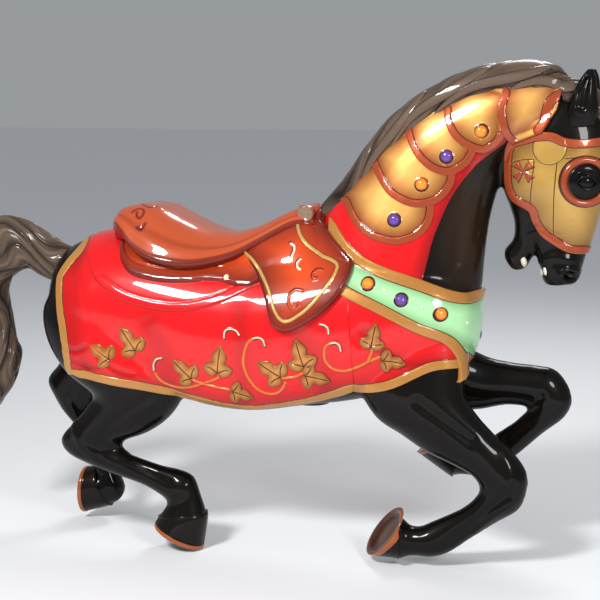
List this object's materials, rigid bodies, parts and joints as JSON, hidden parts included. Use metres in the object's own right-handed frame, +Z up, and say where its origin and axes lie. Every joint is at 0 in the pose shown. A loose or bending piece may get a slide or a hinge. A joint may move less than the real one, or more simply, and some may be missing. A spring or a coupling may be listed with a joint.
{
  "type": "carousel horse",
  "caption": "Black carousel horse leaping, with red caparison and saddle, gold neck and face armour, and a mint breast strap with glass jewels.",
  "frame": {"origin": "on the axis of the upright pole bore, on the flat seat under the belly", "axes": "+X towards the head, +Y to the horse's left, +Z up"},
  "size_m": [1.4948, 0.3616, 1.0756],
  "materials": {
    "hide": "black gel coat under deep clear lacquer",
    "hair": "grey-brown paint under clear lacquer",
    "cloth_paint": "airbrushed scarlet under clear lacquer",
    "saddle_paint": "airbrushed tan to dark red under clear lacquer",
    "armour_paint": "gold paint with copper edges under clear lacquer",
    "strap_paint": "mint green paint with gold borders under clear lacquer",
    "amber_glass": "polished amber glass, foiled behind",
    "violet_glass": "polished violet glass, foiled behind"
  },
  "bodies": {
    "root": {"horse": "hide", "chest_jewel": "violet_glass", "neck_jewel_right_1": "violet_glass", "neck_jewel_right_2": "amber_glass", "neck_jewel_right_3": "violet_glass", "neck_jewel_right_4": "amber_glass", "strap_jewel_right_1": "amber_glass", "strap_jewel_right_2": "violet_glass", "strap_jewel_right_3": "amber_glass", "neck_jewel_left_1": "violet_glass", "neck_jewel_left_2": "amber_glass", "neck_jewel_left_3": "violet_glass", "neck_jewel_left_4": "amber_glass", "strap_jewel_left_1": "amber_glass", "strap_jewel_left_2": "violet_glass", "strap_jewel_left_3": "amber_glass"}
  },
  "joints": []
}
